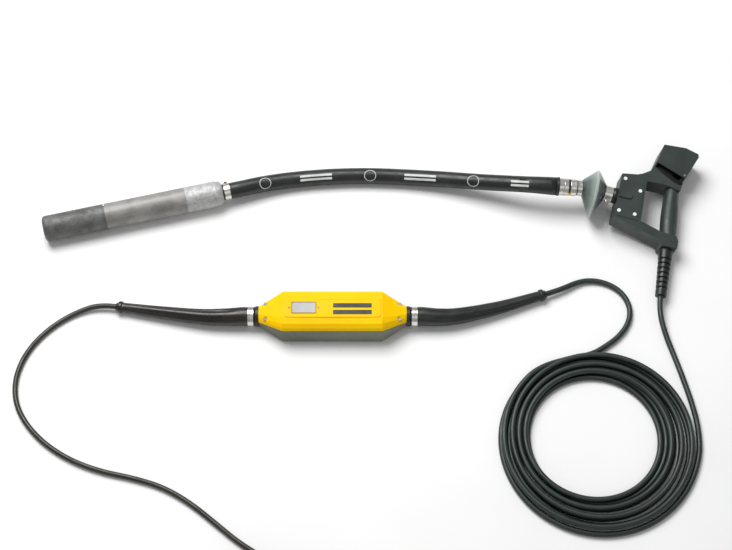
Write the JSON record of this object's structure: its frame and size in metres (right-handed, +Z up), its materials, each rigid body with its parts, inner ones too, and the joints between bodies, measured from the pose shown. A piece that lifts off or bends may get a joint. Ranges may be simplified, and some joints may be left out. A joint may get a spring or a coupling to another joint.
{
  "type": "concrete vibrator",
  "caption": "Internal concrete vibrator: steel vibrating head on a protective hose, D-shaped switch handle, coiled cable, in-line converter and mains lead.",
  "frame": {"origin": "middle of the converter's flat underside, on the floor that the whole tool lies on", "axes": "+X along the converter towards the control cable's end, +Z up, +Y towards the head and handle"},
  "size_m": [1.4858, 1.1133, 0.1063],
  "materials": {
    "head_steel": "dark turned steel, worn and mottled",
    "tube_steel": "mid grey steel tube, rough from use",
    "cast_steel": "light grey cast surface",
    "bare_steel": "bright machined steel",
    "bright_band": "bright zinc plated steel band",
    "lamination": "dark steel",
    "copper": "enamelled copper wire",
    "brass": "machined brass",
    "plug_metal": "nickel plated brass",
    "black_rubber": "matt black rubber",
    "brown_rubber": "brownish black rubber with long folds",
    "isolator_rubber": "grey green semi-gloss rubber",
    "seal_rubber": "black seal rubber",
    "handle_plastic": "dark grey green moulded plastic, fine grain",
    "black_plastic": "black moulded plastic",
    "control_cable": "dark grey cable sheath",
    "mains_lead": "dark olive cable sheath",
    "yellow_cover": "bright yellow paint",
    "grey_casting": "grey green painted casting",
    "label_grey": "plain grey metal plate",
    "rivet_steel": "small bright rivet",
    "board_green": "coated circuit board",
    "component_dark": "sleeved capacitor",
    "module_aluminium": "extruded aluminium"
  },
  "bodies": {
    "frame": {"bearing_outer_rings": "bare_steel", "boot_bands": "bright_band", "cable_coil": "control_cable", "cable_converter_run": "control_cable", "cable_handle_run": "control_cable", "circuit_board": "board_green", "clamp_screws": "bright_band", "control_boot": "black_rubber", "converter_base": "grey_casting", "converter_cover": "yellow_cover", "converter_gasket": "seal_rubber", "converter_glands": "black_plastic", "converter_screws": "bare_steel", "coupling_rubber_rings": "black_rubber", "coupling_sleeves": "bright_band", "handle_cover": "handle_plastic", "handle_cover_gasket": "seal_rubber", "handle_cover_screws": "bright_band", "handle_hose_nipple": "bare_steel", "handle_shell_lower": "handle_plastic", "handle_shell_upper": "handle_plastic", "handle_spigot": "bare_steel", "head_hose_clamp": "bright_band", "head_hose_nipple": "bare_steel", "head_motor_tube": "tube_steel", "head_rear_cap": "cast_steel", "head_seal_rings": "seal_rubber", "head_terminal_disc": "black_plastic", "head_tip_cap": "head_steel", "hose_power_cable": "control_cable", "isolator": "isolator_rubber", "isolator_clamps": "bright_band", "lead_boot": "brown_rubber", "line_choke": "copper", "mains_lead_coil": "mains_lead", "mains_lead_run": "mains_lead", "mains_lead_tail": "mains_lead", "paddle_pin": "bare_steel", "plate_rivets": "rivet_steel", "plug_body": "black_rubber", "plug_contacts": "plug_metal", "power_module": "module_aluminium", "protective_hose": "black_rubber", "rating_plate": "label_grey", "smoothing_capacitors": "component_dark", "spigot_collar": "black_plastic", "stator_core": "lamination", "stator_windings": "copper", "strain_relief": "black_rubber", "switch_body": "black_plastic", "terminal_block": "black_plastic"},
    "rotor": {"rotor_shaft": "bare_steel", "rotor_core": "lamination", "eccentric_weight": "lamination", "bearing_inner_rings": "bare_steel"},
    "ball_cages": {"bearing_balls": "bare_steel", "bearing_cages": "brass"},
    "paddle": {"switch_paddle": "handle_plastic", "paddle_spring": "bare_steel"},
    "plunger": {"switch_plunger": "black_plastic"}
  },
  "joints": [
    {"name": "rotor_spin", "type": "hinge", "parent": "frame", "child": "rotor", "pos_m": [-0.44209, 0.25807, 0.0287], "axis": [-0.972, -0.2351, 0], "continuous": true},
    {"name": "cage_spin", "type": "hinge", "parent": "frame", "child": "ball_cages", "pos_m": [-0.44209, 0.25807, 0.0287], "axis": [-0.972, -0.2351, 0], "continuous": true},
    {"name": "paddle_press", "type": "hinge", "parent": "frame", "child": "paddle", "pos_m": [0.77265, 0.33198, 0.03134], "axis": [0.1263, -0.0727, 0.9893], "range_deg": [0, 6], "stiffness_Nm_per_rad": 2, "springref_deg": -5.73},
    {"name": "plunger_slide", "type": "slide", "parent": "frame", "child": "plunger", "axis": [-0.5285, -0.8489, 0.0051], "range_m": [0, 0.0048]}
  ],
  "couplings": [
    {"joint": "cage_spin", "follows": "rotor_spin", "ratio": 0.418},
    {"joint": "plunger_slide", "follows": "paddle_press", "m_per_rad": 0.0455}
  ]
}
